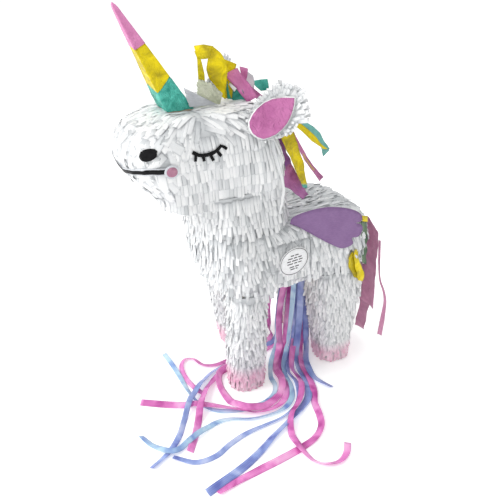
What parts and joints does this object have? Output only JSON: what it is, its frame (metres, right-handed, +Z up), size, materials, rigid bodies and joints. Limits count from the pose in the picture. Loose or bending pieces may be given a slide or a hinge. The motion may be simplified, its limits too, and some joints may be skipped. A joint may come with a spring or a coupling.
{
  "type": "pinata",
  "caption": "Unicorn pull-ribbon pinata: a hollow card animal covered in tissue fringe, with a horn, folding wings, a fill flap in its flank and a ribbon-pulled trap door in its belly.",
  "frame": {"origin": "on the floor under the middle of the body's bounding box, ribbons left out", "axes": "+Z up, the nose points to -Y, the animal's left side is +X"},
  "size_m": [0.28, 0.3235, 0.4258],
  "materials": {
    "card": "plain kraft card",
    "white_fringe": "white cut fringe, slightly glossy",
    "tape": "paper tape",
    "label": "printed round sticker",
    "teal_paper": "creased tissue",
    "yellow_paper": "creased tissue",
    "pink_paper": "creased tissue",
    "lilac_paper": "creased tissue",
    "cream_tissue": "pleated tissue",
    "ear_pink": "pink paper",
    "black_sticker": "matte black sticker",
    "wing_card": "lilac card",
    "ribbon_pink": "satin curling ribbon",
    "ribbon_pale_blue": "satin curling ribbon",
    "ribbon_blue": "satin curling ribbon",
    "white_cord": "twisted cord",
    "wood": "plain"
  },
  "bodies": {
    "root": {"torso_shell": "card", "neck_shell": "card", "head_shell": "card", "front_left_leg": "card", "front_right_leg": "card", "hind_left_leg": "card", "hind_right_leg": "card", "torso_fringe": "white_fringe", "neck_fringe": "white_fringe", "head_fringe": "white_fringe", "front_left_leg_fringe": "white_fringe", "front_right_leg_fringe": "white_fringe", "hind_left_leg_fringe": "white_fringe", "hind_right_leg_fringe": "white_fringe", "door_hinge_tape": "tape", "horn_core": "card", "horn_base_wrap": "teal_paper", "horn_middle_wrap": "yellow_paper", "horn_tip_wrap": "pink_paper", "horn_tissue_fan": "cream_tissue", "forelock_yellow": "yellow_paper", "forelock_pink": "pink_paper", "forelock_teal": "teal_paper", "mane_lilac": "lilac_paper", "mane_yellow": "yellow_paper", "mane_pink": "pink_paper", "mane_teal_curl": "teal_paper", "tail_pink_wide": "pink_paper", "tail_pink_long": "pink_paper", "tail_teal": "teal_paper", "tail_yellow": "yellow_paper", "tail_curl": "pink_paper", "left_ear": "white_fringe", "right_ear": "white_fringe", "left_ear_lining": "ear_pink", "right_ear_lining": "ear_pink", "left_eyelashes": "black_sticker", "right_eyelashes": "black_sticker", "left_nostril": "black_sticker", "right_nostril": "black_sticker", "mouth_sticker": "black_sticker", "hanging_loop": "white_cord", "anchor_stick": "wood", "pull_ribbon": "ribbon_pale_blue", "ribbon_01": "ribbon_pale_blue", "ribbon_02": "ribbon_pink", "ribbon_03": "ribbon_pink", "ribbon_04": "ribbon_pink", "ribbon_05": "ribbon_blue", "ribbon_07": "ribbon_pink", "ribbon_08": "ribbon_blue", "ribbon_09": "ribbon_blue", "ribbon_10": "ribbon_blue", "ribbon_11": "ribbon_pink", "ribbon_12": "ribbon_pink"},
    "trap_door": {"trap_door": "card"},
    "fill_flap": {"fill_flap": "white_fringe", "fill_label": "label"},
    "left_wing": {"left_wing": "wing_card"},
    "right_wing": {"right_wing": "wing_card"}
  },
  "joints": [
    {"name": "trap_door_hinge", "type": "hinge", "parent": "root", "child": "trap_door", "pos_m": [0, 0.0072, 0.126], "axis": [-1, 0, 0], "range_deg": [0, 90]},
    {"name": "fill_flap_hinge", "type": "hinge", "parent": "root", "child": "fill_flap", "pos_m": [0.0613, 0, 0.1813], "axis": [0, -1, 0], "range_deg": [0, 80]},
    {"name": "left_wing_hinge", "type": "hinge", "parent": "root", "child": "left_wing", "pos_m": [0.0538, 0.014, 0.198], "axis": [0, 0, -1], "range_deg": [0, 28]},
    {"name": "right_wing_hinge", "type": "hinge", "parent": "root", "child": "right_wing", "pos_m": [-0.0538, 0.014, 0.198], "axis": [0, 0, 1], "range_deg": [0, 28]}
  ]
}
